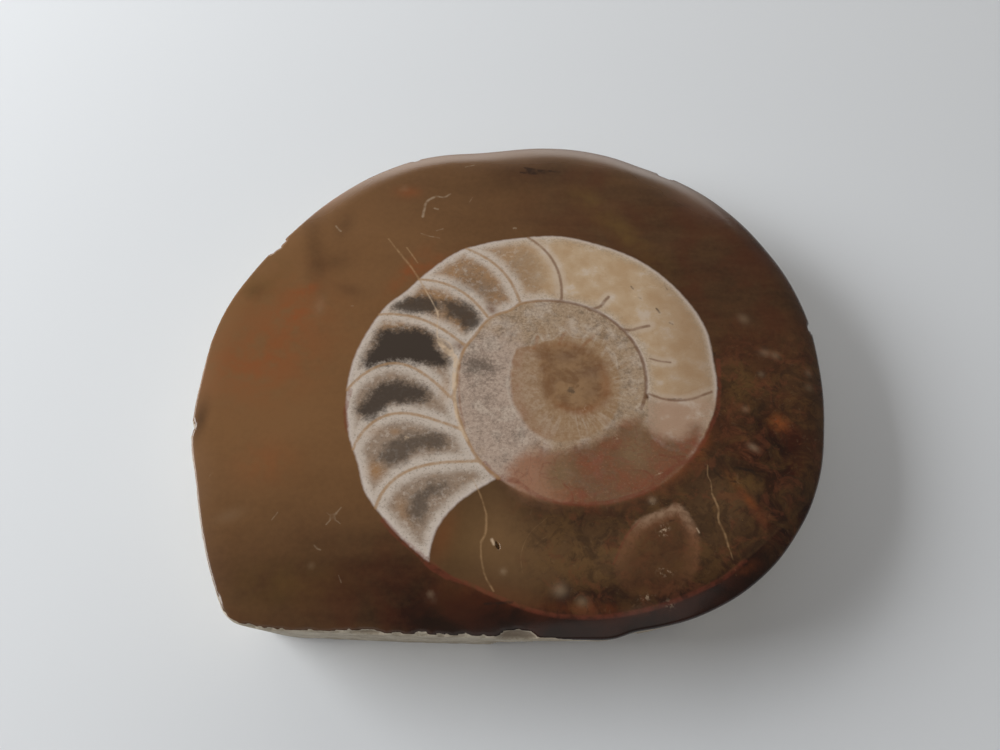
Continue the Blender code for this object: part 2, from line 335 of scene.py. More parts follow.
# Soft patches, as (x, y, half length, half width, turn, strength)
PATCHES = {
    # Rusty stains
    "rust": [
        (-23, 1, 6.2, 5, 80, 0.34), (-22.4, 3.4, 1.6, 1.4, 60, 0.4),
        (-21.6, 6.4, 1.2, 0.6, 20, 0.6), (-26, -3, 3, 4, 90, 0.3),
        (-11.2, 9, 0.8, 3.2, -30, 0.5), (-8.6, 10.2, 2.6, 0.8, 35, 0.4),
        (24.9, -7.8, 0.8, 0.9, 0, 0.95), (-12, 20, 1.4, 0.8, 0, 0.4),
        (-22.5, -13, 2.6, 2, 0, 0.25), (-22, 18.4, 3.2, 1.2, 45, 0.45),
        (20.8, -15.2, 0.4, 2.4, 32, 0.6), (20.2, -21.7, 1.2, 0.5, 20, 0.4),
        (-1, -24.6, 5, 0.9, -10, 0.14), (7, -25.6, 4, 0.5, 0, 0.3),
        (-6, -19.5, 1, 2.6, -15, 0.3), (14.5, -12.8, 3, 0.9, 38, 0.6),
        (17.4, -9.6, 2.2, 0.7, 70, 0.5), (11.4, -14.4, 1.8, 0.5, 30, 0.6),
        (8.9, -10.5, 1.6, 0.5, 25, 0.6), (13.5, -11, 0.5, 1.4, 0, 0.6),
        (7.9, -13, 1, 0.7, 0, 0.4), (8.8, -4, 0.7, 1.6, 0, 0.75),
        (7, -6.9, 1.6, 0.7, 20, 0.8), (5, 0.5, 3, 0.4, 0, 0.3),
        (4.6, -6.6, 1, 0.6, 0, 0.5), (2.4, -11.7, 0.5, 1.1, 0, 0.7),
        (0.9, -7.9, 0.6, 1.6, 35, 0.6), (9.2, -10.4, 0.9, 0.5, 0, 0.9),
    ],
    # Darker stone
    "shadow": [
        (-21.2, 11.4, 1.1, 5.6, 12, 0.4), (-18.9, 10, 1.9, 1.4, 20, 0.3),
        (-18.5, 15.1, 0.9, 2.2, -10, 0.3), (-26.6, 6.2, 1, 1.2, 0, 0.35),
        (-17, 6.5, 1.6, 0.8, -25, 0.3), (-29.2, -8.6, 0.6, 2, 0, 0.6),
        (-1, -27, 14, 1.7, 0, 0.32), (-8.5, -24, 8, 3.4, -20, 0.26),
        (9, -24.6, 7, 1.6, 6, 0.55), (-12, 20, 9, 4, 24, 0.14),
        (-20, -23.5, 7, 3.4, 0, 0.14), (23.6, -11.2, 5.4, 2.8, 70, 0.36),
        (-1, 21.4, 6, 2.2, 0, 0.12), (-17.5, -24.5, 8, 2.6, -4, 0.14),
        (15.5, -19.5, 5, 3.4, 30, 0.16), (2, 23.6, 4.4, 1.4, 0, 0.22),
        (14, -25.6, 8, 1.4, 25, 0.5), (25.6, -9.5, 1, 0.8, 0, 0.4),
        (22.8, -16.2, 2, 1.4, 60, 0.5),
    ],
    # Greenish stone
    "olive": [
        (4.2, -13.4, 1.2, 1.6, 0, 1), (-4.5, -20, 2.2, 5, -10, 0.25),
        (11.1, -11.2, 1.5, 1.5, 0, 1), (11.5, -8.6, 1, 1.4, 0, 0.6),
        (11.6, 14.8, 5.6, 1.3, -49, 0.8), (8, 19.5, 2.4, 1.2, -30, 0.5),
        (-26, 8, 3.6, 2, 60, 0.45), (-19, -24, 5, 2.2, 0, 0.4),
        (20.6, -13.8, 1.4, 0.7, -10, 0.5), (10.9, -24.1, 0.7, 0.4, 0, 0.6),
        (22, -3.8, 3, 1.6, 80, 0.35),
    ],
    # Pale smudges
    "pale": [
        (4.1, -24.1, 0.58, 0.56, 0, 0.3), (5.9, -25, 0.45, 0.42, 0, 0.24),
        (-6.7, -24.8, 0.32, 0.26, -40, 0.24), (23, 4.1, 0.5, 0.6, 30, 0.18),
        (24.6, 0.1, 0.5, 0.4, 0, 0.2), (25.6, -0.2, 0.4, 0.4, 0, 0.2),
        (28.6, -2.1, 0.3, 0.4, 0, 0.2), (28.4, -3.7, 0.4, 0.4, 0, 0.15),
        (23.9, -2.4, 0.3, 0.3, 0, 0.2), (22.1, -10.3, 0.5, 0.3, -35, 0.34),
        (12.4, -15.8, 0.3, 0.3, 0, 0.4), (-0.7, -22.6, 0.25, 0.25, 0, 0.3),
        (-17.1, -22.5, 0.25, 0.25, 0, 0.12), (-24.7, -18.2, 1.2, 0.6, 20, 0.1),
        (-12.5, 20.5, 0.3, 0.3, 0, 0.2), (-19.8, 4.4, 0.5, 1, 0, 0.14),
        (17.4, -5.9, 1, 1.6, -20, 0.12), (21.9, -6.3, 0.3, 0.3, 0, 0.2),
    ],
    # Duller polish along the back edge, where the colour is also lightened as a painted sheen
    "dull_polish_and_sheen": [
        (-19.6, 19, 4, 0.9, 44, 0.5), (-9.5, 25.3, 4.5, 0.9, 18, 0.5),
        (-1, 26.4, 6, 1.5, 4, 1), (9, 26.1, 5, 1.4, -14, 0.85),
        (15.2, 23.6, 3.4, 1.5, -32, 0.45), (20, 20.6, 4, 1.9, -42, 0.75),
    ],
    # Where the grain of the inner whorl and of the core is darkest
    "soot": [
        (-3.6, -1.5, 1.7, 2.8, 0, 1), (-2.6, -5.5, 2, 3, 20, 0.6),
        (0.6, 3.2, 3, 1.3, 35, 0.5), (9.4, 3, 2.5, 1, -30, 0.4),
        (-1.4, -9.6, 2, 1.6, -40, 0.5), (4.9, -1, 1.1, 0.7, 0, 0.8),
        (7.5, -2.8, 1.3, 0.9, 0, 0.7), (7.4, -4.9, 0.7, 0.6, 0, 0.5),
    ],
    # Golden stains in the chambers
    "ochre": [
        (-12.4, -13.6, 0.7, 1, 20, 0.9), (-12.9, -9.6, 0.9, 0.5, 30, 0.35),
        (-9.6, -17.2, 0.6, 1.3, 30, 0.5), (-11, -9.6, 0.5, 0.3, 0, 0.6),
        (-6.6, -5, 0.5, 1.6, 0, 0.5), (-7.2, 5.4, 1.4, 0.5, -20, 0.35),
    ],
    # Small clusters of bright crystals
    "sparkle": [
        (13.2, -18.6, 0.5, 0.35, 60, 0.9), (13, -22.3, 0.45, 0.25, 0, 0.9),
        (11.3, -24.5, 0.5, 0.2, 20, 0.6), (13.2, -25, 0.3, 0.3, 0, 0.5),
        (12.4, -15.8, 0.15, 0.25, 0, 0.9), (13.4, -13.3, 0.4, 0.2, -20, 0.7),
        (9.5, -9.6, 0.2, 0.2, 0, 0.7), (6.6, -6.7, 0.3, 0.5, 0, 0.4),
        (-12, -12.9, 0.3, 0.4, 0, 0.5), (-7.9, 3.9, 0.3, 0.5, 0, 0.7),
        (-10, -10.2, 0.3, 0.25, 0, 0.6),
    ],
    # Brown stone in the corners where the septa meet the dividing wall
    "corner": [
        (-5.3, -0.1, 0.9, 0.45, -40, 0.9), (-2.4, 4.4, 0.9, 0.45, -50, 0.9),
    ],
}

# The small open pit in the last whorl: half its length and width, its turn and depth, the share
# of it that slopes, and the pitch of the points there
PIT_MIDDLE = (-1.25, -20.3)
PIT_HALVES = (0.46, 0.19)
PIT_TURN = -66.0
PIT_DEPTH = 0.3
PIT_SLOPE = 0.6
PIT_PITCH = 0.06
PIT_CLEARING = 2.4

# The picture that textures are baked to: the face and the underside, as (scale, origin, side),
# and the side of the slab in two strips
FACE_MAP = (0.0130, (0.398, 0.372), 1)
UNDERSIDE_MAP = (0.0035, (0.895, 0.12), -1)
STRIP_SCALE = 0.0098
STRIP_U = 0.01
STRIP_V = (0.755, 0.875)

# The colours of the stone and the floor, as a screen shows them
COLOURS = {
    "light_brown": (120, 85, 52), "dark_brown": (28, 11, 3), "red_brown": (78, 34, 16),
    "rust": (140, 70, 30), "olive": (100, 74, 36), "smudge_pale": (172, 148, 120),
    # The first colour on the next line paints a sheen along the back edge
    "dull_polish_and_sheen": (150, 126, 106), "fleck": (164, 126, 72),
    "mottle_dark": (38, 23, 13), "mottle_ochre": (108, 78, 42), "mottle_red": (104, 58, 36),
    "mottle_pale": (130, 104, 78),
    "body_light": (120, 90, 58), "body_dark": (44, 22, 9), "rose": (126, 84, 58),
    "rose_pale": (152, 126, 102), "rose_brown": (84, 52, 30),
    "chamber_white": (202, 189, 176), "chamber_grey": (146, 126, 108),
    "chamber_tan": (153, 119, 86), "chamber_speck": (100, 86, 72),
    "chamber_ochre": (158, 112, 62),
    "cream": (188, 163, 133), "cream_tan": (176, 146, 112), "cream_grey": (150, 132, 110),
    "cream_dusk": (142, 112, 84), "cream_pink": (166, 136, 116),
    "crystal_dark": (62, 52, 44), "rim_lilac": (200, 188, 180), "crystal": (208, 182, 152),
    "whorl_grey": (176, 155, 139), "whorl_tan": (164, 140, 114), "whorl_speck": (92, 78, 66),
    "whorl_pale": (194, 178, 162), "whorl_red": (122, 65, 40), "whorl_brown": (106, 72, 46),
    "whorl_blush": (156, 112, 86), "whorl_olive": (118, 90, 62),
    "nucleus_tan": (142, 110, 78), "nucleus_pale": (160, 132, 102),
    "core_brown": (116, 84, 56), "core_rust": (134, 84, 50), "core_dusk": (106, 78, 60),
    "wall_tan": (158, 122, 82), "wall_brown": (112, 80, 58), "thread_red": (112, 54, 38),
    "crack_dark": (34, 22, 14),
    "vein_cream": (168, 134, 96), "scratch_pale": (186, 166, 140),
    "side_pale": (192, 182, 164), "side_grey": (166, 154, 135), "side_dark": (112, 96, 76),
    "side_brown": (104, 84, 62),
    "floor": (219, 222, 225),
}

# The streaks round the nucleus: how many, how fast they change on the way out, and their shift
STREAK_COUNT = 12.0
STREAK_LIFT = 0.35
STREAK_SHIFT = (3.0, 3.0, 0.0)

# The mottling, layer on layer: colour, size of the spots, the noise where they begin and where
# they are full, strength, and the noise's shift
MOTTLES = [
    ("mottle_ochre", 2.6, 0.44, 0.66, 0.40, 4.0), ("mottle_dark", 2.3, 0.46, 0.64, 0.66, 2.0),
    ("mottle_red", 1.8, 0.50, 0.66, 0.55, 6.0), ("mottle_dark", 0.6, 0.50, 0.70, 0.52, 11.0),
    ("mottle_pale", 0.8, 0.58, 0.78, 0.34, 8.0), ("fleck", 0.3, 0.66, 0.78, 0.40, 5.0),
]

# The lines, layer on layer: field, colour, strength, and the share that is left where they break
LINE_TONES = [
    ("thread", "thread_red", 0.5, 0.3), ("wall", "wall_tan", 0.75, 0.7),
    ("tooth", "core_rust", 0.42, 0.5), ("scallop", "whorl_pale", 0.4, 0.4),
    ("crack", "crack_dark", 0.7, 0.3), ("vein", "vein_cream", 0.6, 0.4),
    # The crystals' tone also paints the glint beside the pit
    ("crystal", "crystal", 0.75, 0.4), ("scratch", "scratch_pale", 0.42, 0.2),
]

# Lights: name, bearing, elevation, distance, width, height, radiance and colour
PANELS = [
    ("window_left", 172.0, 28.0, 420.0, 300.0, 200.0, 10.4, (0.97, 0.985, 1.0)),
    ("window_back", 100.0, 15.0, 400.0, 600.0, 190.0, 2.6, (1.0, 0.985, 0.96)),
    ("room_front", -85.0, 55.0, 700.0, 800.0, 620.0, 0.5, (1.0, 0.96, 0.92)),
]
ROOM_COLOUR = (1.0, 0.96, 0.92, 1.0)
ROOM_STRENGTH = 0.17
FLOOR_HALF = 1500.0


def smoothstep(value, low, high):
    """0 below low, 1 above high, and eased between them."""
    share = np.clip((value - low) / (high - low), 0.0, 1.0)
    return share * share * (3.0 - 2.0 * share)


def ring_blur(values, width):
    """Values round a ring, blurred over a width in points."""
    reach = int(4 * width)
    offsets = np.arange(-reach, reach + 1)
    weights = np.exp(-0.5 * (offsets / width) ** 2)
    return sum(w * np.roll(values, o) for o, w in zip(offsets, weights)) / weights.sum()


def smooth_path(points, closed=False, spacing=LINE_PITCH):
    """Points at an even spacing along a smooth curve through the given ones."""
    points = np.array(points, float)
    if closed:
        ends = np.vstack([points[-1:], points, points[:2]])
    else:
        ends = np.vstack([2 * points[:1] - points[1:2], points, 2 * points[-1:] - points[-2:-1]])
    share = np.linspace(0.0, 1.0, SPAN_STEPS, endpoint=False)[:, None]
    spans = [0.5 * (2 * b + (c - a) * share + (2 * a - 5 * b + 4 * c - d) * share ** 2
                    + (3 * b - a - 3 * c + d) * share ** 3)
             for a, b, c, d in zip(ends, ends[1:], ends[2:], ends[3:])]
    dense = np.vstack(spans + [ends[-2:-1]])
    along = np.concatenate([[0.0], np.cumsum(np.hypot(*np.diff(dense, axis=0).T))])
    marks = np.linspace(0.0, along[-1], max(int(along[-1] / spacing), 2) + 1)
    return np.column_stack([np.interp(marks, along, column) for column in dense.T])


def distance_to(points, path):
    """How far each point lies from a path."""
    nearest = np.full(len(points), FAR)
    for start, end in zip(path, path[1:]):
        along = end - start
        share = np.clip((points - start) @ along / max(along @ along, TINY), 0.0, 1.0)
        gap = points - start - share[:, None] * along
        nearest = np.minimum(nearest, np.hypot(gap[:, 0], gap[:, 1]))
    return nearest


def depth_inside(points, outline):
    """How deep each point lies inside a closed outline, less than 0 outside it."""
    x, y = points.T
    inside = np.zeros(len(points), bool)
    for (x0, y0), (x1, y1) in zip(outline, np.roll(outline, -1, axis=0)):
        if y0 != y1:
            crosses = (y0 > y) != (y1 > y)
            inside ^= crosses & (x < x0 + (y - y0) * (x1 - x0) / (y1 - y0))
    distance = distance_to(points, np.vstack([outline, outline[:1]]))
    return np.where(inside, distance, -distance)


def wall_radius(turn):
    """The shell's radius at a turn of its spiral."""
    turns, radii = smooth_path(WALL, spacing=1.0).T
    return np.interp(-np.asarray(turn, float), -turns, radii)


def on_shell(turn, radius):
    """The places at turns and radii about the nucleus."""
    angle = np.radians(turn)
    return np.column_stack([NUCLEUS[0] + radius * np.cos(angle),
                            NUCLEUS[1] + radius * np.sin(angle)])


def wall_path(first_turn, last_turn):
    """The shell's wall between two turns."""
    turns = np.linspace(first_turn, last_turn, int(abs(last_turn - first_turn)) + 2)
    return on_shell(turns, wall_radius(turns))


def septum_path(septum):
    """A septum, from the inner wall to the outer one."""
    across = np.linspace(0.0, 1.0, SEPTUM_STEPS)
    straight = septum.inner + (septum.outer - septum.inner) * across
    at_crest = septum.inner + (septum.outer - septum.inner) * septum.height
    bulge = (septum.crest - at_crest) / (septum.height * (1.0 - septum.height))
    turn = straight + bulge * across * (1.0 - across)
    inner, outer = wall_radius(turn - 360.0), wall_radius(turn)
    return on_shell(turn, inner + (outer - inner) * across)


def chambered_outline():
    """The outline of the whorl that is filled with calcite."""
    return np.vstack([wall_path(*CHAMBER_OUTER_TURNS), smooth_path(LAST_CHAMBER),
                      wall_path(*CHAMBER_INNER_TURNS), septum_path(BODY_SEPTUM)[1:-1]])


def body_outline():
    """The outline of the last whorl, the chamber where the animal lived."""
    return np.vstack([wall_path(*BODY_OUTER_TURNS), [BODY_CORNER], wall_path(*BODY_INNER_TURNS),
                      septum_path(BODY_SEPTUM)])


def wall_lines():
    """Every wall that shows as a line, as (width, path)."""
    lines = [(SEPTUM_WIDTH, septum_path(septum)) for septum in SEPTA]
    lines.append((DIVIDER_WIDTH, wall_path(*DIVIDER_TURNS)))
    return lines + [(width, smooth_path(points)) for width, points in FAINT_WALLS]


def drawn(lines):
    return [(width, smooth_path(points)) for width, points in lines]


def depth_in_lines(points, lines):
    """How deep points lie inside the nearest of some lines, less than 0 outside them."""
    depth = np.full(len(points), -FAR)
    for width, path in lines:
        depth = np.maximum(depth, width / 2 - distance_to(points, path))
    return depth


def ellipse_axes(points, middle, long, short, turn):
    """How far points lie along and across a turned ellipse, in its own half lengths."""
    turn = math.radians(turn)
    x, y = points[:, 0] - middle[0], points[:, 1] - middle[1]
    return ((x * math.cos(turn) + y * math.sin(turn)) / long,
            (y * math.cos(turn) - x * math.sin(turn)) / short)


def patch_sum(points, patches):
    """How strongly soft patches cover each point, from 0 to 1."""
    total = np.zeros(len(points))
    for x, y, long, short, turn, strength in patches:
        along, across = ellipse_axes(points, (x, y), long, short, turn)
        total += strength * np.exp(-along ** 2 - across ** 2)
    return np.clip(total, 0.0, 1.0)


def hollow_fields(points):
    """How deep points lie in the dark crystals, and how dark the nearest of those are."""
    depth = np.full(len(points), -FAR)
    darkness = np.zeros(len(points))
    for tone, outline in HOLLOWS:
        inside = depth_inside(points, smooth_path(outline, True, HOLLOW_SPACING))
        darkness = np.where(inside > depth, tone, darkness)
        depth = np.maximum(depth, inside)
    return depth, darkness


def matrix_shade(x, y):
    """How dark the plain stone is, from 0 on the left to 1 along the front and the right."""
    across = smoothstep(x, -26.0, 22.0)
    front = smoothstep(-y, 8.0, 27.0)
    return np.clip(0.72 * across + front * (0.45 + 0.1 * across), 0.0, 1.0)


def tone_fields(x, y, body):
    """Where the stone's tones change from one part of it to the next, from 0 to 1."""
    beside = smoothstep(x + 0.5 * y, 8.0, 16.0) * smoothstep(-y, -7.0, 4.0)
    within = smoothstep(body, -0.2, 0.3) * smoothstep(x + 0.2 * y, -5.5, 0.5)
    bearing = np.degrees(np.arctan2(y - NUCLEUS[1], x - NUCLEUS[0]))
    turn = np.where(bearing > SEAM_BEARING, bearing - 360.0, bearing)
    return {
        "shade": matrix_shade(x, y),
        "mottle": np.maximum(0.8 * beside, within),
        "cream": smoothstep(-turn, -CREAM_TURNS[0], -CREAM_TURNS[1]),
        "warmth": np.clip(smoothstep(x, -1.5, 7.0) + 0.7 * smoothstep(y, -2.0, 4.0), 0.0, 1.0),
        "dusk": smoothstep(x, 11.0, 19.0),
        "last_chamber": smoothstep(-y, 4.6, 6.0) * smoothstep(x, 11.5, 12.5),
        "blush": 1.0 - smoothstep(x, 1.0, 8.0),
    }


def stone_fields(points):
    """Every field that the stone's material reads, at places seen from above."""
    hollow, darkness = hollow_fields(points)
    fields = {
        "calcite": depth_inside(points, chambered_outline()),
        "inner_whorl": depth_inside(points, wall_path(*INNER_WHORL_TURNS)),
        "body": depth_inside(points, body_outline()),
        "wall": depth_in_lines(points, wall_lines()),
        "hollow": hollow,
        "darkness": darkness,
    }
    fields.update(tone_fields(*points.T, fields["body"]))
    for name, outline in OUTLINES.items():
        fields[name] = depth_inside(points, smooth_path(outline, closed=True))
    for name, lines in MARKS.items():
        fields[name] = depth_in_lines(points, drawn(lines))
    for name, patches in PATCHES.items():
        fields[name] = patch_sum(points, patches)
    return fields


def shoulder_share(bearing):
    """How much of the shoulder there is on a bearing, from 0 to 1."""
    turned = np.abs((bearing - SHOULDER_BEARING + 180.0) % 360.0 - 180.0)
    left = smoothstep(SHOULDER_FADED - turned, 0.0, SHOULDER_FADED - SHOULDER_FULL)
    return SHOULDER_LEAST + (1.0 - SHOULDER_LEAST) * left


def lean_share(height, corner_height):
    """How much of its reach at the corner the side keeps lower down."""
    return UNDERSIDE_SHARE + (1.0 - UNDERSIDE_SHARE) * height / corner_height


def solid_tree():
    """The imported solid, in millimetres, for feeling where its surface is."""
    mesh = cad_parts[SLAB_NODE].data
    places = [vertex.co / MM for vertex in mesh.vertices]
    faces = [tuple(polygon.vertices) for polygon in mesh.polygons]
    return BVHTree.FromPolygons(places, faces)


def outline_reach(tree, bearings, corner_height):
    """How far the corner of the face is from the middle on each bearing, with the chips filled."""
    reach = np.zeros(len(bearings))
    for i, bearing in enumerate(np.radians(bearings)):
        outwards = Vector((math.cos(bearing), math.sin(bearing), 0.0))
        for height in PROBE_HEIGHTS:
            hit = tree.ray_cast(Vector((0.0, 0.0, height)), outwards)[0]
            reach[i] = max(reach[i], hit.xy.length / lean_share(height, corner_height[i]))
    return ring_blur(reach, OUTLINE_SMOOTHING) - OUTLINE_INSET


def quadratic(start, middle, end, share):
    """A point on the curve that leaves start for middle and arrives at end from it."""
    stay = 1.0 - share
    return tuple(stay * stay * a + 2.0 * stay * share * b + share * share * c
                 for a, b, c in zip(start, middle, end))


def rim_rows(reach, shoulder, corner_height):
    """The rim's cross-section on every bearing: rows of reach and height, from the face round to
    the underside, and the numbers of the rows where the side and the underside start."""
    def on_shoulder(inset):
        sunk = SHOULDER_DROP * shoulder * (1.0 - inset / SHOULDER_WIDTH) ** 2
        return reach - inset, THICKNESS - sunk

    def on_side(height):
        return reach * lean_share(height, corner_height), height

    rows = [on_shoulder(inset)
            for inset in np.linspace(SHOULDER_WIDTH, CORNER_ROUND, SHOULDER_ROWS + 1)]
    corner_row = len(rows) - 1
    lip = rows[-1]
    top = on_side(corner_height - CORNER_ROUND)
    rows += [quadratic(lip, (reach, corner_height), top, step / (CORNER_ROWS + 1))
             for step in range(1, CORNER_ROWS + 1)]
    for step in range(SIDE_ROWS + 1):
        down = (step / SIDE_ROWS) ** SIDE_CROWDING
        rows.append(on_side((corner_height - CORNER_ROUND) * (1.0 - down) + CORNER_ROUND * down))
    foot = rows[-1]
    bottom_reach = reach * UNDERSIDE_SHARE
    ground = np.zeros(len(reach))
    rows += [quadratic(foot, (bottom_reach, ground), (bottom_reach - CORNER_ROUND, ground),
                       step / CORNER_ROWS)
             for step in range(1, CORNER_ROWS)]
    underside_row = len(rows)
    rows += [(bottom_reach - inset, ground)
             for inset in np.linspace(CORNER_ROUND, UNDERSIDE_RIM, UNDERSIDE_ROWS + 1)]
    return rows, (corner_row, underside_row)


def chip_depths(tree, points, aims):
    """How deep below each point the chipped solid's surface lies."""
    depths = np.zeros(len(points))
    for i, (point, aim) in enumerate(zip(points, aims)):
        start = Vector(point - FELT_FROM * aim)
        hit = tree.ray_cast(start, Vector(aim))[0]
        if hit is not None:
            depths[i] = max((hit - start).length - FELT_FROM, 0.0)
    return depths * smoothstep(depths, CHIP_DEPTH / 2, CHIP_DEPTH * 1.5)


def turbulence(place, roughness, lacunarity):
    """Layered noise at a place, mostly between 0 and 1."""
    return 0.5 + 0.5 * noise.fractal(place, roughness, lacunarity, 4,
                                     noise_basis="PERLIN_ORIGINAL")


def rough_depths(points, polish):
    """How deep the ground sides and the chips are pitted."""
    rough = np.zeros(len(points))
    for i in np.flatnonzero(polish < 1.0):
        rough[i] = turbulence(Vector(points[i]) * 0.9, 0.7, 2.1)
    return ROUGH_DEPTH * np.clip(rough, 0.0, 1.2) * (1.0 - polish)


def lip_depths(points, from_lip, bearings):
    """How deep the lip of the face is crumbled along the front."""
    first, last = LIP_BEARINGS
    before, after = LIP_FADES
    share = smoothstep(bearings, first - before, first)
    share *= 1.0 - smoothstep(bearings, last, last + after)
    depths = np.zeros(len(points))
    for i in np.flatnonzero((share > 0.0) & (from_lip < LIP_WIDTH * 1.5)):
        bite = turbulence(Vector(points[i]) * 1.3, 0.6, 2.0)
        fade = 1.0 - smoothstep(from_lip[i], 0.1, LIP_WIDTH * (0.6 + 0.9 * bite))
        depths[i] = LIP_DEPTH * smoothstep(bite, 0.35, 0.9) * fade
    return depths * share


def polished(bearings, row_count, corner_row):
    """Which points of the rim are polished: the face's, and the corner's between two bearings."""
    first, last = POLISHED_CORNER
    before, after = POLISHED_CORNER_FADES
    corner = smoothstep(bearings, first, first + before)
    corner *= 1.0 - smoothstep(bearings, last, last + after)
    last_row = corner_row + 1 + CORNER_ROWS * corner
    return np.concatenate([np.where(row <= last_row, 1.0, 0.0) for row in range(row_count)])


def build_rim(tree):
    """The rim's points row by row, how polished and how chipped each is, and the rows where the
    side and the underside start."""
    bearings = np.linspace(-180.0, 180.0, AROUND, endpoint=False)
    shoulder = shoulder_share(bearings)
    corner_height = THICKNESS - SHOULDER_DROP * shoulder
    reach = outline_reach(tree, bearings, corner_height)
    rows, starts = rim_rows(reach, shoulder, corner_height)
    count = len(rows)
    turn = np.radians(bearings)
    out = np.column_stack([np.cos(turn), np.sin(turn)])
    spine = np.column_stack([out * (reach - SPINE_INSET)[:, None],
                             np.full(AROUND, THICKNESS / 2)])
    points = np.vstack([np.column_stack([out * row_reach[:, None], height + np.zeros(AROUND)])
                        for row_reach, height in rows])
    aims = np.tile(spine, (count, 1)) - points
    aims /= np.linalg.norm(aims, axis=1)[:, None]
    from_lip = np.hypot(np.hypot(points[:, 0], points[:, 1]) - np.tile(reach, count),
                        points[:, 2] - np.tile(corner_height, count))
    chips = chip_depths(tree, points, aims)
    lip = lip_depths(points, from_lip, np.tile(bearings, count))
    polish = polished(bearings, count, starts[0])
    polish *= 1.0 - smoothstep(chips, *DULL_CHIPS)
    polish *= 1.0 - smoothstep(lip, *DULL_LIP)
    ground = points[:, 2] > ROUGH_ABOVE
    sunk = chips + lip + rough_depths(points, polish) * ground
    return points + aims * sunk[:, None], polish, smoothstep(chips, *BROWN_CHIPS), starts


def staggered_grid(pitch, middle, half):
    """Points in staggered rows a pitch apart, in a square that reaches half each way."""
    step_y = pitch * math.sqrt(3.0) / 2.0
    count_x, count_y = int(half / pitch), int(half / step_y)
    across, up = np.meshgrid(np.arange(-count_x, count_x + 1), np.arange(-count_y, count_y + 1))
    x = (across + (up % 2) * 0.5) * pitch + middle[0]
    return np.column_stack([x.ravel(), (up * step_y).ravel() + middle[1]])


def inside_ring(points, ring, margin):
    """The points that lie inside a ring round the middle by a margin."""
    bearing = np.arctan2(points[:, 1], points[:, 0])
    ring_bearing = np.arctan2(ring[:, 1], ring[:, 0])
    order = np.argsort(ring_bearing)
    limit = np.interp(bearing, ring_bearing[order], np.hypot(*ring[order].T), period=2 * math.pi)
    return points[np.hypot(*points.T) < limit - margin]


def fill_ring(points, ring, inside):
    """Triangles between a ring of points and those inside it, all by number, seen from above."""
    numbers = np.concatenate([ring, inside])
    flat = [Vector(point) for point in points[numbers, :2]]
    face = list(range(len(ring)))
    found = delaunay_2d_cdt(flat, [], [face], 1, MERGE_DISTANCE)
    triangles, originals = found[2], found[3]
    return numbers[[[originals[corner][0] for corner in triangle] for triangle in triangles]]


def add_clear(kept, group, clearance):
    """The kept points, and those of a group that lie clear of all of them."""
    tree = KDTree(len(kept))
    for number, (x, y) in enumerate(kept):
        tree.insert((x, y, 0.0), number)
    tree.balance()
    clear = [tree.find((x, y, 0.0))[2] > clearance for x, y in group]
    return np.vstack([kept, group[np.array(clear, bool)]])


def face_points(ring):
    """Points for the inside of the face: the pit, every line, the fossil and the rest."""
    points = staggered_grid(PIT_PITCH, PIT_MIDDLE, PIT_CLEARING * PIT_HALVES[0])
    points = inside_ring(points, ring, 0.0)
    for _, path in wall_lines() + drawn(sum(MARKS.values(), [])):
        points = add_clear(points, inside_ring(path, ring, RING_CLEARANCE), LINE_CLEARANCE)
    fossil = staggered_grid(FOSSIL_PITCH, NUCLEUS, FOSSIL_REACH)
    fossil = fossil[np.hypot(*(fossil - NUCLEUS).T) < FOSSIL_REACH]
    points = add_clear(points, inside_ring(fossil, ring, RING_CLEARANCE), LINE_CLEARANCE)
    rest = inside_ring(staggered_grid(FACE_PITCH, (0.0, 0.0), FACE_HALF), ring, RING_CLEARANCE)
    return add_clear(points, rest, FACE_PITCH / 2)


def pit_depths(points):
    """How deep the pit is below each point of the face."""
    away = np.hypot(*ellipse_axes(points, PIT_MIDDLE, *PIT_HALVES, PIT_TURN))
    return PIT_DEPTH * smoothstep(1.0 - away, 0.0, PIT_SLOPE)


def strip_maps(rows, first, last):
    """Where the quads' corners lie on the two strips that the side is unrolled to, row by row."""
    corner = rows[first][:, :2]
    steps = np.hypot(*(np.roll(corner, -1, axis=0) - corner).T).reshape(2, -1)
    along = (np.cumsum(steps, axis=1) - steps).ravel()
    left = STRIP_U + STRIP_SCALE * along
    right = STRIP_U + STRIP_SCALE * (along + steps.ravel())
    down = np.linalg.norm(np.diff(rows[first:last + 1], axis=0), axis=2).mean(axis=1)
    heights = STRIP_SCALE * np.concatenate([[0.0], np.cumsum(down)])
    strip = np.repeat(STRIP_V, AROUND // 2)
    return [np.stack([np.stack([u, strip + height], axis=1)
                      for u, height in ((left, upper), (left, lower), (right, lower),
                                        (right, upper))], axis=1)
            for upper, lower in zip(heights, heights[1:])]


def flat_map(points, scale, origin, side):
    """Places on the picture for points seen straight from above, or from below as -1."""
    return np.array(origin) + scale * points[..., :2] * (side, 1)


def picture_places(points, quads, top, bottom, starts):
    """The place of every face corner on the picture that textures are baked to."""
    corner_row, underside_row = starts
    rows = points[:AROUND * (len(quads) + 1)].reshape(-1, AROUND, 3)
    maps = [flat_map(points[quad], *FACE_MAP) for quad in quads[:corner_row]]
    maps += strip_maps(rows, corner_row, underside_row)
    maps += [flat_map(points[quad], *UNDERSIDE_MAP) for quad in quads[underside_row:]]
    maps += [flat_map(points[top], *FACE_MAP), flat_map(points[bottom], *UNDERSIDE_MAP)]
    return np.vstack([places.reshape(-1, 2) for places in maps])


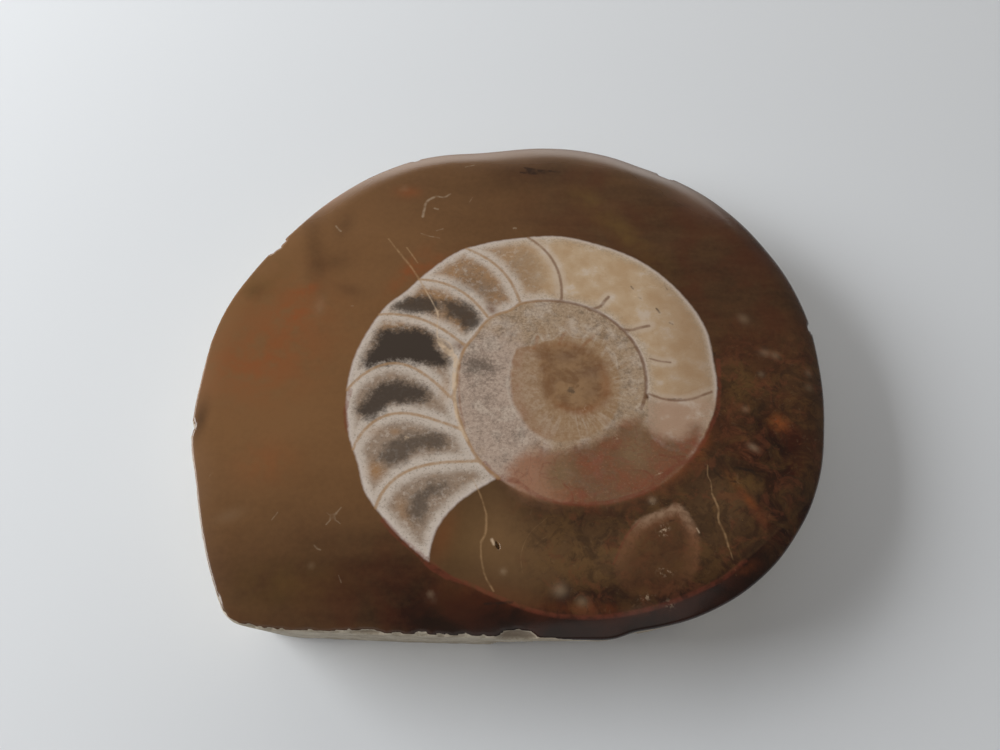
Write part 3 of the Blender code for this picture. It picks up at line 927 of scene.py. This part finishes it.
def slab_geometry():
    """The slab's points and faces, the place of every face corner on the picture, and how
    polished and how chipped the points are."""
    rim, polish, chipped, starts = build_rim(solid_tree())
    inner = face_points(rim[:AROUND, :2])
    below = staggered_grid(UNDERSIDE_PITCH, (0.0, 0.0), FACE_HALF)
    below = inside_ring(below, rim[-AROUND:, :2], UNDERSIDE_PITCH / 2)
    points = np.vstack([rim, np.column_stack([inner, THICKNESS - pit_depths(inner)]),
                        np.column_stack([below, np.zeros(len(below))])])
    this = np.arange(AROUND)
    beside = (this + 1) % AROUND
    quads = [np.stack([row + this, row + AROUND + this, row + AROUND + beside, row + beside], 1)
             for row in range(0, len(rim) - AROUND, AROUND)]
    rim_end, inner_end, end = np.cumsum([len(rim), len(inner), len(below)])
    top = fill_ring(points, this, np.arange(rim_end, inner_end))
    bottom = fill_ring(points, rim_end - AROUND + this, np.arange(inner_end, end))[:, ::-1]
    faces = np.vstack(quads).tolist() + top.tolist() + bottom.tolist()
    corners = picture_places(points, quads, top, bottom, starts)
    polish = np.concatenate([polish, np.ones(len(inner)), np.zeros(len(below))])
    chipped = np.concatenate([chipped, np.zeros(len(inner) + len(below))])
    return points, faces, corners, polish, chipped


def add_field(mesh, name, values):
    attribute = mesh.attributes.new(name, "FLOAT", "POINT")
    attribute.data.foreach_set("value", np.asarray(values, np.float32))


def build_stone():
    """The slab, with a field for everything that is drawn in it."""
    points, faces, corners, polish, chipped = slab_geometry()
    mesh = bpy.data.meshes.new(STONE_NAME)
    mesh.from_pydata((points * MM).tolist(), [], faces)
    picture = mesh.uv_layers.new(name="OFBake")
    picture.data.foreach_set("uv", corners.astype(np.float32).ravel())
    for name, values in stone_fields(points[:, :2]).items():
        add_field(mesh, name, values)
    add_field(mesh, "polish", polish)
    add_field(mesh, "chipped", chipped)
    mesh.shade_smooth()
    mesh.validate()
    stone = bpy.data.objects.new(STONE_NAME, mesh)
    bpy.context.scene.collection.objects.link(stone)
    return stone


def srgb(name):
    """A named colour of the stone as linear light."""
    def linear(part):
        share = part / 255.0
        return share / 12.92 if share <= 0.04045 else ((share + 0.055) / 1.055) ** 2.4
    return (*(linear(part) for part in COLOURS[name]), 1.0)


class Recipe:
    """A material's nodes, with a short way to add each kind that the stone needs."""

    def __init__(self, material):
        self.tree = material.node_tree
        self.shader = self.tree.nodes["Principled BSDF"]
        place = self.add("ShaderNodeTexCoord").outputs["Object"]
        self.place = self.vector("MULTIPLY", place, (1.0 / MM,) * 3)

    def __getitem__(self, name):
        """A field of the mesh."""
        return self.add("ShaderNodeAttribute", attribute_name=name).outputs["Fac"]

    def add(self, kind, **settings):
        node = self.tree.nodes.new(kind)
        for name, value in settings.items():
            setattr(node, name, value)
        return node

    def feed(self, socket, value):
        if isinstance(value, bpy.types.NodeSocket):
            self.tree.links.new(value, socket)
        else:
            socket.default_value = value

    def calculate(self, kind, operation, values):
        node = self.add(kind, operation=operation)
        for socket, value in zip(node.inputs, values):
            self.feed(socket, value)
        return node

    def vector(self, operation, *values):
        node = self.calculate("ShaderNodeVectorMath", operation, values)
        return node.outputs["Value" if operation == "LENGTH" else "Vector"]

    def math(self, operation, *values):
        return self.calculate("ShaderNodeMath", operation, values).outputs[0]

    def plus(self, *values):
        total = values[0]
        for value in values[1:]:
            total = self.math("ADD", total, value)
        return total

    def times(self, *values):
        total = values[0]
        for value in values[1:]:
            total = self.math("MULTIPLY", total, value)
        return total

    def inverse(self, value):
        return self.math("SUBTRACT", 1.0, value)

    def step(self, value, low, high):
        """0 below low, 1 above high, and eased between them, or the other way if low is above."""
        node = self.add("ShaderNodeMapRange", interpolation_type="SMOOTHSTEP")
        self.feed(node.inputs["Value"], value)
        node.inputs["From Min"].default_value = low
        node.inputs["From Max"].default_value = high
        return node.outputs["Result"]

    def between(self, value, low, high):
        """A straight line from low at 0 to high at 1."""
        return self.math("MULTIPLY_ADD", value, high - low, low)

    def mix(self, share, under, over):
        """One colour over another. A share below 0 or above 1 counts as 0 or 1."""
        node = self.add("ShaderNodeMix", data_type="RGBA")
        under, over = (srgb(c) if isinstance(c, str) else c for c in (under, over))
        for number, value in ((0, share), (6, under), (7, over)):
            self.feed(node.inputs[number], value)
        return node.outputs[2]

    def coats(self, colour, *coats):
        """Colours laid over one in turn, each as (colour, factors of its share)."""
        for over, *factors in coats:
            colour = self.mix(self.times(*factors), colour, over)
        return colour

    def noise_at(self, place, detail, rough, twist=0.0):
        """Clouds at a place, from 0 to 1 and mostly near a half."""
        node = self.add("ShaderNodeTexNoise")
        settings = {"Vector": place, "Scale": 1.0, "Detail": detail, "Roughness": rough,
                    "Distortion": twist}
        for name, value in settings.items():
            self.feed(node.inputs[name], value)
        return node.outputs[0]

    def noise(self, size, detail=3.0, shift=0.0, stretch=(1.0, 1.0, 1.0), twist=0.0, rough=0.55):
        """Clouds of a size in millimetres."""
        place = self.vector("MULTIPLY_ADD", self.place, [part / size for part in stretch],
                            (shift, 2.0 * shift, -shift))
        return self.noise_at(place, detail, rough, twist)

    def sway(self, size, reach, **options):
        """A wandering number of millimetres either way, for borders."""
        return self.times(self.math("SUBTRACT", self.noise(size, **options), 0.5), 2.0 * reach)


def paint_matrix(r):
    """The plain stone round the fossil: brown, clouded and banded, with rust and shadows."""
    bands = r.sway(1.3, 0.16, stretch=(0.2, 1.0, 1.0), detail=4.0, shift=2.9)
    level = r.plus(r["shade"], r.sway(8.0, 0.12, detail=4.0, shift=3.1),
                   r.sway(2.6, 0.08, stretch=(0.3, 1.0, 1.0), shift=7.7),
                   r.sway(0.5, 0.11, detail=4.0, shift=1.3), r.times(r["shadow"], 0.8),
                   r.times(bands, r.step(r["shade"], 0.2, 0.6)))
    clouds = r.step(r.noise(5.0, detail=5.0, shift=2.6, twist=0.4), 0.36, 0.66)
    return r.coats(
        r.mix(level, "light_brown", "dark_brown"),
        ("red_brown", clouds, r.step(r["shade"], 0.25, 0.7), 0.4),
        ("rust", r["rust"], r.step(r.noise(1.6, detail=4.0, shift=9.0), 0.25, 0.62)),
        ("olive", r["olive"], r.step(r.noise(2.2, shift=5.0), 0.2, 0.7)),
        # Painted sheen: the back edge lightened towards a pale grey-brown
        ("dull_polish_and_sheen", r["dull_polish_and_sheen"], 0.42))


def paint_mottling(r, colour):
    """Patches of dark, ochre and red-brown stone, in and beside the last whorl."""
    mottle = r.times(r["mottle"], r.between(r.step(r["body"], -0.2, 0.4), 1.0, 0.72))
    for tone, size, low, high, share, shift in MOTTLES:
        spots = r.step(r.noise(size, detail=4.0, shift=shift, twist=0.8, rough=0.66), low, high)
        colour = r.coats(colour, (tone, spots, mottle, share))
    return colour


def paint_body(r, colour):
    """The last whorl, filled with the same stone, a little lighter and redder at its edge."""
    body = r.plus(r["body"], r.sway(0.9, 0.12, shift=2.2))
    level = r.plus(0.22, r.times(r.step(body, 5.0, 0.0), 0.34), r.times(r["mottle"], 0.30),
                   r.sway(3.0, 0.12, shift=5.5), r.sway(0.6, 0.08, detail=4.0, shift=6.1),
                   r.times(r["shadow"], 0.6))
    fill = r.coats(r.mix(level, "body_light", "body_dark"),
                   ("rust", r["rust"], 0.8), ("olive", r["olive"], 0.8))
    return r.mix(r.step(body, -0.12, 0.14), colour, fill)


def paint_rose(r, colour):
    """The rosy patch: brown inside a pinkish border, which is palest at the top."""
    depth = r.plus(r["rose"], r.sway(0.8, 0.3, detail=5.0, shift=3.7))
    grain = r.step(r.noise(0.6, shift=4.2, twist=1.0), 0.34, 0.66)
    parts = r.add("ShaderNodeSeparateXYZ")
    r.feed(parts.inputs[0], r.place)
    back = parts.outputs["Y"]
    return r.coats(
        colour,
        ("rose_brown", r.step(depth, -0.2, 0.9), r.between(grain, 0.3, 0.6)),
        ("rose", r.step(depth, -0.25, 0.3), r.step(depth, 1.7, 0.3), r.step(back, -25.0, -18.0),
         r.between(grain, 0.4, 0.75)),
        ("rose_pale", r.step(depth, -0.3, 0.25), r.step(depth, 1.1, 0.3),
         r.step(back, -19.5, -17.0), r.between(grain, 0.3, 0.7)))


def paint_cream(r, calcite, from_wall, grain):
    """The beginning of the chambered whorl: smooth cream, browner and pinker at its end."""
    clouds = r.noise(1.9, detail=5.0, shift=6.6)
    last = r["last_chamber"]
    return r.coats(
        r.mix(r.step(clouds, 0.36, 0.70), "cream", "cream_tan"),
        ("chamber_white", r.step(clouds, 0.46, 0.30), 0.5),
        ("cream_dusk", r["dusk"], 0.6),
        ("cream_pink", last, 0.75),
        ("whorl_pale", r.step(clouds, 0.50, 0.34), last, 0.6),
        ("chamber_white", r.step(from_wall, 0.8, 0.2), r.between(last, 0.3, 0.1)),
        ("cream_grey", r.step(calcite, 1.5, 0.3), r.step(grain, 0.36, 0.64), 0.6),
        ("cream_dusk", r.step(grain, 0.54, 0.76), 0.26))


def paint_calcite(r, colour):
    """The chambers: white beside every wall, grey further in, dark crystals in the middle, and
    cream towards the shell's beginning."""
    calcite = r.plus(r["calcite"], r.sway(0.7, 0.09, detail=4.0, shift=1.9))
    from_wall = r.math("MINIMUM", calcite, r.times(r["wall"], -1.0))
    from_wall = r.plus(from_wall, r.sway(0.9, 0.34, detail=5.0, shift=4.4))
    grain = r.noise(0.2, shift=8.8, rough=0.7)
    patches = r.noise(1.1, detail=5.0, shift=3.3)
    warm = r.plus(r.times(r["warmth"], 0.8), r.sway(1.3, 0.7, detail=5.0, shift=6.9))
    hollow = r.plus(r["hollow"], r.sway(0.9, 0.75, detail=5.0, shift=7.1),
                    r.sway(0.22, 0.5, detail=2.0, shift=9.3))
    fill = r.coats(
        r.mix(r.step(warm, 0.0, 0.8), "chamber_grey", "chamber_tan"),
        ("chamber_white", r.step(r.noise(0.5, detail=4.0, shift=4.8), 0.5, 0.68), 0.4),
        ("chamber_white", r.step(from_wall, 1.3, 0.3), r.between(patches, 0.5, 1.15),
         r.between(grain, 0.75, 1.2)),
        ("chamber_speck", r.step(grain, 0.48, 0.74), 0.6),
        ("chamber_ochre", r["ochre"], r.between(grain, 0.3, 1.0)),
        (paint_cream(r, calcite, from_wall, grain), r["cream"]),
        ("crystal_dark", r.step(hollow, -0.75, 0.5), r["darkness"]),
        ("wall_brown", r["corner"], r.between(grain, 0.6, 1.1)),
        ("rim_lilac", r.step(calcite, 0.5, 0.0), r.between(r["last_chamber"], 0.5, 0.0)))
    return r.mix(r.step(calcite, -0.16, 0.14), colour, fill), from_wall


def from_nucleus(r):
    """The way to a place from the middle of the shell, and how far it is."""
    out = r.vector("SUBTRACT", r.place, (*NUCLEUS, THICKNESS))
    return out, r.vector("LENGTH", out)


def radial_streaks(r):
    """Fine streaks that run out from the middle of the shell."""
    out, length = from_nucleus(r)
    lift = r.add("ShaderNodeCombineXYZ")
    r.feed(lift.inputs["Z"], r.times(length, STREAK_LIFT))
    place = r.vector("MULTIPLY_ADD", r.vector("NORMALIZE", out), (STREAK_COUNT,) * 3,
                     lift.outputs[0])
    return r.noise_at(r.vector("ADD", place, STREAK_SHIFT), 4.0, 0.5)


def paint_inner_whorl(r, colour):
    """The inner whorl, granular and pinkish grey, and tan at the top."""
    depth = r.plus(r["inner_whorl"], r.sway(0.8, 0.1, shift=2.7))
    grain = r.noise(0.24, shift=5.9, rough=0.72)
    clouds = r.noise(1.8, detail=5.0, shift=1.1)
    warm = r.plus(r["warmth"], r.times(r.math("SUBTRACT", clouds, 0.5), 1.4))
    sooty = r.plus(grain, r.times(r["soot"], 0.12))
    hollow = r.plus(r["hollow"], r.sway(0.5, 0.9, detail=5.0, shift=7.1))
    fill = r.coats(
        r.mix(r.step(warm, 0.1, 0.9), "whorl_grey", "whorl_tan"),
        ("whorl_pale", r.step(clouds, 0.52, 0.36), 0.5),
        ("whorl_speck", r.step(r.noise(1.1, detail=5.0, shift=9.1), 0.50, 0.70), 0.4),
        ("whorl_speck", r.step(sooty, 0.44, 0.74), 0.5),
        ("whorl_pale", r.step(grain, 0.48, 0.28), 0.4),
        ("crystal_dark", r.step(hollow, -0.6, 0.5), r["darkness"]))
    return r.mix(r.step(depth, -0.14, 0.16), colour, fill)


def paint_nucleus(r, colour):
    """The shell's beginning: tan, with a brown core that is rusty at its edge."""
    nucleus = r.plus(r["nucleus"], r.sway(0.9, 0.22, detail=5.0, shift=6.3))
    core = r.plus(r["core"], r.sway(0.9, 0.6, detail=5.0, shift=4.9))
    grain = r.noise(0.4, shift=2.9, rough=0.65)
    soft = r.noise(1.2, detail=5.0, shift=9.7, twist=0.5)
    left = r.inverse(r["warmth"])
    fill = r.coats(
        r.mix(r.step(grain, 0.34, 0.68), "nucleus_tan", "nucleus_pale"),
        ("core_rust", r.step(nucleus, 1.4, 0.4), left,
         r.between(r.step(soft, 0.4, 0.6), 0.25, 0.6)))
    middle = r.coats(
        r.mix(r.step(soft, 0.38, 0.64), "nucleus_tan", "core_brown"),
        ("core_dusk", r["soot"], 0.7),
        ("core_rust", r.plus(r["rust"], 0.15), r.step(core, 1.9, 0.2), r.between(soft, 0.4, 1.2)))
    streaks = radial_streaks(r)
    near = r.times(r.step(core, -3.4, -0.8), r.step(core, 0.1, -0.5), r["warmth"])
    blurred = r.step(r.plus(core, r.times(left, 0.9, r.math("SUBTRACT", soft, 0.5))), -0.5, 0.7)
    spot = r.step(r.plus(from_nucleus(r)[1], r.sway(0.4, 0.6, shift=1.2)), 0.5, 0.1)
    return r.coats(
        colour,
        (fill, r.step(nucleus, -0.2, 0.25), r.between(grain, 0.9, 0.6)),
        ("whorl_pale", r.step(streaks, 0.5, 0.68), near, 0.26),
        ("nucleus_tan", r.step(streaks, 0.5, 0.34), near, 0.45),
        (middle, blurred, r.between(grain, 1.05, 0.7)),
        ("crystal_dark", spot, 0.6))


def craze(r):
    """Thin crooked veins, as 1 on them and 0 between."""
    away = r.math("ABSOLUTE", r.sway(2.6, 0.5, detail=4.0, shift=5.3, twist=0.6, rough=0.5))
    return r.step(away, 0.022, 0.004)


def paint_red(r, colour):
    """The stain over the lower right of the inner whorl."""
    depth = r.plus(r["reddened"], r.sway(1.7, 0.9, detail=5.0, shift=8.1),
                   r.sway(0.4, 0.25, shift=2.4))
    clouds = r.noise(1.6, detail=5.0, shift=3.7, twist=0.6)
    pale = r.plus(r["blush"], r.sway(0.8, 0.3, detail=5.0, shift=1.6))
    grain = r.noise(0.3, shift=7.4, rough=0.7)
    red = r.coats(
        r.mix(r.step(clouds, 0.40, 0.72), "whorl_brown", "whorl_red"),
        ("whorl_blush", r.step(pale, 0.2, 1.0), 0.8),
        ("whorl_red", r["rust"], 0.6),
        ("whorl_olive", r["olive"], 1.1),
        ("whorl_speck", r.step(grain, 0.5, 0.74), 0.4),
        ("whorl_blush", r.step(grain, 0.46, 0.30), 0.3),
        ("thread_red", craze(r), 0.3))
    within = r.between(r.step(r["inner_whorl"], -0.5, 0.2), 0.3, 0.9)
    return r.coats(colour, (red, r.step(depth, -0.7, 1.1), within))


def paint_lines(r, colour):
    """The walls, which turn from tan to brown along the shell, and the thin marks."""
    fray = r.sway(0.4, 0.06, detail=4.0, shift=5.1)
    wall = r.mix(r["cream"], "wall_tan", "wall_brown")
    for name, tone, share, unbroken in LINE_TONES:
        tone = wall if name == "wall" else tone
        breaks = r.step(r.noise(0.7, detail=2.0, shift=len(name) * 1.7), 0.30, 0.60)
        colour = r.coats(colour, (tone, r.step(r.plus(r[name], fray), -0.12, 0.09),
                                  r.between(breaks, unbroken, 1.0), share))
    return colour


def paint_rim(r):
    """The ground sides: grey and dusty, with darker grains, and browner where they are chipped."""
    return r.coats(
        r.mix(r.step(r.noise(1.6, detail=5.0, shift=2.4), 0.35, 0.68), "side_pale", "side_grey"),
        ("side_brown", r["chipped"], 0.7),
        ("side_dark", r.step(r.noise(0.35, shift=7.2), 0.5, 0.7), 0.42))


def limestone():
    """Polished fossil limestone, and its rough side, as one material."""
    material = bpy.data.materials.new("fossil_limestone")
    material.use_nodes = True
    r = Recipe(material)
    colour = paint_rose(r, paint_mottling(r, paint_body(r, paint_matrix(r))))
    colour, from_wall = paint_calcite(r, paint_nucleus(r, paint_inner_whorl(r, colour)))
    glint = r.step(r.noise(0.26, shift=3.2), 0.50, 0.62)
    colour = r.coats(paint_red(r, colour), ("smudge_pale", r["pale"]),
                     ("crystal", r["sparkle"], glint, 0.65))
    polish = r.step(r.plus(r["polish"], r.sway(0.5, 0.35, detail=4.0)), 0.35, 0.65)
    r.feed(r.shader.inputs["Base Color"], r.mix(polish, paint_rim(r), paint_lines(r, colour)))
    r.shader.inputs["Specular IOR Level"].default_value = 0.42

    smears = r.noise(5.0, detail=4.0, shift=1.7, stretch=(0.5, 1.0, 1.0))
    gloss = r.plus(r.between(smears, 0.16, 0.30), r.times(r.step(from_wall, 0.0, 1.0), 0.04),
                   r.times(r["dull_polish_and_sheen"], 0.2))
    rough = r.between(r.noise(0.5, shift=3.9), 0.62, 0.86)
    blend = r.plus(r.times(polish, gloss), r.times(r.inverse(polish), rough))
    r.feed(r.shader.inputs["Roughness"], blend)

    grain = r.times(r.noise(0.25, shift=8.3), r.between(polish, 0.06, 0.003))
    hairs = r.times(r.noise(0.12, detail=2.0, shift=6.4, stretch=(0.08, 1.0, 1.0)), 0.002)
    bump = r.add("ShaderNodeBump")
    r.feed(bump.inputs["Height"], r.plus(grain, hairs))
    bump.inputs["Distance"].default_value = MM
    r.feed(r.shader.inputs["Normal"], bump.outputs[0])
    return material


def lay_floor():
    """A plain pale floor, far wider than the picture."""
    mesh = bpy.data.meshes.new("floor")
    half = FLOOR_HALF * MM
    mesh.from_pydata([(-half, -half, 0), (half, -half, 0), (half, half, 0), (-half, half, 0)],
                     [], [(0, 1, 2, 3)])
    floor = bpy.data.objects.new("floor", mesh)
    bpy.context.scene.collection.objects.link(floor)
    material = bpy.data.materials.new("pale_floor")
    material.use_nodes = True
    shader = material.node_tree.nodes["Principled BSDF"]
    shader.inputs["Base Color"].default_value = srgb("floor")
    shader.inputs["Roughness"].default_value = 0.95
    shader.inputs["Specular IOR Level"].default_value = 0.1
    mesh.materials.append(material)


def hang_light(name, bearing, elevation, distance, width, height, radiance, colour):
    """A soft light panel that faces the slab from a bearing and an elevation."""
    data = bpy.data.lights.new(name, "AREA")
    data.shape = "RECTANGLE"
    data.size, data.size_y = width * MM, height * MM
    data.energy = radiance * math.pi * data.size * data.size_y
    data.color = colour
    light = bpy.data.objects.new(name, data)
    turn, rise = math.radians(bearing), math.radians(elevation)
    towards = Vector((math.cos(turn) * math.cos(rise), math.sin(turn) * math.cos(rise),
                      math.sin(rise)))
    light.location = towards * distance * MM
    light.rotation_euler = towards.to_track_quat("Z", "Y").to_euler()
    bpy.context.scene.collection.objects.link(light)


def light_scene():
    """A window on the left, paler ones behind and over the front, and a dim room."""
    world = bpy.data.worlds.new("room")
    world.use_nodes = True
    background = world.node_tree.nodes["Background"]
    background.inputs["Color"].default_value = ROOM_COLOUR
    background.inputs["Strength"].default_value = ROOM_STRENGTH
    bpy.context.scene.world = world
    for panel in PANELS:
        hang_light(*panel)
    bpy.context.scene.view_settings.view_transform = "Standard"


def set_camera():
    """The camera over the slab, where the picture was taken from."""
    data = bpy.data.cameras.new("camera")
    data.sensor_width = SENSOR_WIDTH
    data.lens = SENSOR_WIDTH * CAMERA_FOCAL / PICTURE_WIDTH
    data.clip_start = MM
    data.clip_end = 10.0
    camera = bpy.data.objects.new("camera", data)
    tilt = Matrix.Rotation(math.radians(90.0 - CAMERA_PITCH), 4, "X")
    roll = Matrix.Rotation(math.radians(CAMERA_ROLL), 4, "Z")
    camera.matrix_world = Matrix.Translation(Vector(CAMERA_PLACE) * MM) @ tilt @ roll
    bpy.context.scene.collection.objects.link(camera)
    bpy.context.scene.camera = camera


set_camera()
lay_floor()
light_scene()
stone = build_stone()
stone.data.materials.append(limestone())
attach(stone, "root")
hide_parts(SLAB_NODE)
